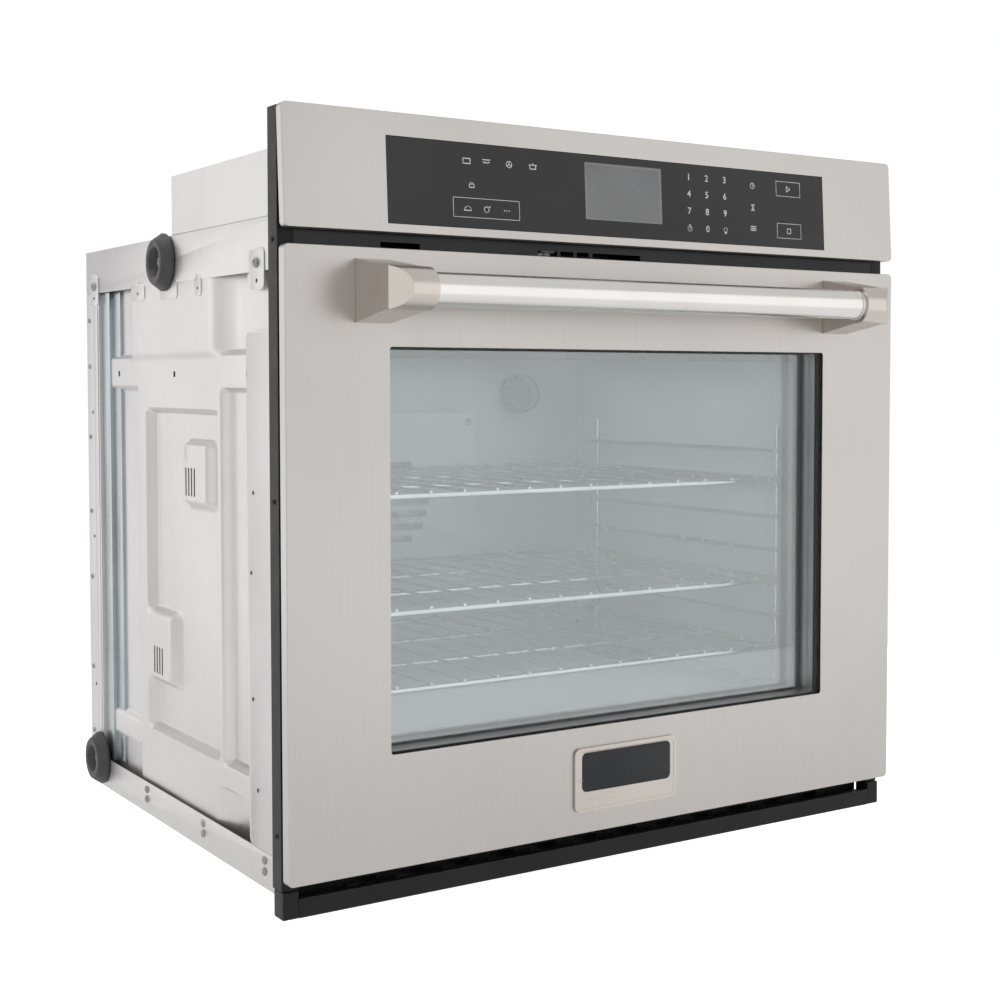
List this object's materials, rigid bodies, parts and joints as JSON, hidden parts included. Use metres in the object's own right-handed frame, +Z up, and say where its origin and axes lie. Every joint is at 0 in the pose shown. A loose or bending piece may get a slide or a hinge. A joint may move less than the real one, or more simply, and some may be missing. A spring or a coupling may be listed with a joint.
{
  "type": "built-in wall oven",
  "caption": "Built-in electric wall oven: drop-down glass door with a tubular handle, touch control panel, black trims, sliding wire racks in an enamelled cavity, and a galvanised box.",
  "frame": {"origin": "middle of the underside of the box that goes into the cabinet", "axes": "+X to the right seen from the front, +Y to the back, +Z up; the door faces -Y"},
  "size_m": [0.756, 0.717, 0.745],
  "materials": {
    "stainless": "stainless sheet with a fine vertical grain",
    "satin_nickel": "satin, slightly warm",
    "clear_glass": "clear float glass",
    "control_glass": "dark printed touch glass",
    "circuit_board": "green circuit board with a grey screen",
    "black_enamel": "glossy vitreous enamel",
    "black_trim": "satin black paint",
    "galvanised_steel": "zinc coated sheet with a faint spangle",
    "bare_steel": "pickled steel",
    "spring_steel": "oiled spring wire",
    "chrome_wire": "bright plated",
    "element_sheath": "oxidised heater sheath",
    "fibre": "glass fibre",
    "ceramic_white": "unglazed lamp socket",
    "moulded_plastic": "moulded off-white plastic",
    "rubber": "matt black rubber"
  },
  "bodies": {
    "chassis": {"panel_skin": "stainless", "lamp_lens": "clear_glass", "control_glass": "control_glass", "display_board": "circuit_board", "front_frame": "black_enamel", "cavity_liner": "black_enamel", "fan_cover": "black_enamel", "side_trim_left": "black_trim", "side_trim_right": "black_trim", "end_block_left": "black_trim", "end_block_right": "black_trim", "vent_trim": "black_trim", "control_tray": "galvanised_steel", "side_panel_left": "galvanised_steel", "side_panel_right": "galvanised_steel", "rear_panel": "galvanised_steel", "base_pan": "galvanised_steel", "top_cover": "galvanised_steel", "top_housing": "galvanised_steel", "blower_housing": "galvanised_steel", "hinge_arm_left": "bare_steel", "hinge_arm_right": "bare_steel", "fan_motor": "bare_steel", "rack_guide_left": "chrome_wire", "rack_guide_right": "chrome_wire", "conduit_gland": "chrome_wire", "bake_element": "element_sheath", "broil_element": "element_sheath", "convection_element": "element_sheath", "insulation": "fibre", "door_gasket": "fibre", "oven_lamp": "ceramic_white", "latch_motor": "moulded_plastic", "door_switch": "moulded_plastic", "bumper_upper_left": "rubber", "bumper_lower_left": "rubber", "bumper_upper_right": "rubber", "bumper_lower_right": "rubber"},
    "door": {"door_skin": "stainless", "outer_glass": "clear_glass", "middle_glass": "clear_glass", "inner_glass": "clear_glass", "door_liner": "black_enamel", "handle_bar": "satin_nickel", "handle_bracket_left": "satin_nickel", "handle_bracket_right": "satin_nickel", "badge_plate": "satin_nickel", "hinge_channel_left": "bare_steel", "hinge_channel_right": "bare_steel", "hinge_spring_left": "spring_steel", "hinge_spring_right": "spring_steel"},
    "rod_left": {"hinge_rod_left": "bare_steel"},
    "rod_right": {"hinge_rod_right": "bare_steel"},
    "lower_rack": {"rack_lower": "chrome_wire"},
    "middle_rack": {"rack_middle": "chrome_wire"},
    "top_rack": {"rack_top": "chrome_wire"},
    "latch": {"latch_hook": "bare_steel"},
    "plunger": {"switch_plunger": "moulded_plastic"},
    "fan": {"convection_fan": "bare_steel"},
    "blower": {"blower_wheel": "chrome_wire"}
  },
  "joints": [
    {"name": "door_hinge", "type": "hinge", "parent": "chassis", "child": "door", "pos_m": [0, -0.317, 0.033], "axis": [1, 0, 0], "range_deg": [0, 90], "stiffness_Nm_per_rad": 14, "springref_deg": -28.65},
    {"name": "lower_rack_slide", "type": "slide", "parent": "chassis", "child": "lower_rack", "axis": [0, -1, 0], "range_m": [0, 0.268]},
    {"name": "middle_rack_slide", "type": "slide", "parent": "chassis", "child": "middle_rack", "axis": [0, -1, 0], "range_m": [0, 0.268]},
    {"name": "top_rack_slide", "type": "slide", "parent": "chassis", "child": "top_rack", "axis": [0, -1, 0], "range_m": [0, 0.268]},
    {"name": "rod_left_slide", "type": "slide", "parent": "door", "child": "rod_left", "axis": [0, 0, -1], "range_m": [0, 0.014], "deforming": ["hinge_spring_left"]},
    {"name": "rod_right_slide", "type": "slide", "parent": "door", "child": "rod_right", "axis": [0, 0, -1], "range_m": [0, 0.014], "deforming": ["hinge_spring_right"]},
    {"name": "latch_turn", "type": "hinge", "parent": "chassis", "child": "latch", "pos_m": [-0.078, -0.293, 0.6155], "axis": [0, 0, 1], "range_deg": [0, 80]},
    {"name": "plunger_slide", "type": "slide", "parent": "chassis", "child": "plunger", "axis": [0, -1, 0], "range_m": [0, 0.005]},
    {"name": "fan_spin", "type": "hinge", "parent": "chassis", "child": "fan", "pos_m": [0, 0.22, 0.33], "axis": [0, 1, 0], "continuous": true},
    {"name": "blower_spin", "type": "hinge", "parent": "chassis", "child": "blower", "pos_m": [0, -0.11, 0.67425], "axis": [1, 0, 0], "continuous": true}
  ],
  "couplings": [
    {"joint": "lower_rack_slide", "follows": "door_hinge", "m_per_rad": 0.17},
    {"joint": "middle_rack_slide", "follows": "door_hinge", "m_per_rad": 0.17},
    {"joint": "top_rack_slide", "follows": "door_hinge", "m_per_rad": 0.17},
    {"joint": "rod_left_slide", "follows": "door_hinge", "m_per_rad": 0.0089},
    {"joint": "rod_right_slide", "follows": "door_hinge", "m_per_rad": 0.0089},
    {"joint": "plunger_slide", "follows": "door_hinge", "m_per_rad": 0.00318}
  ]
}
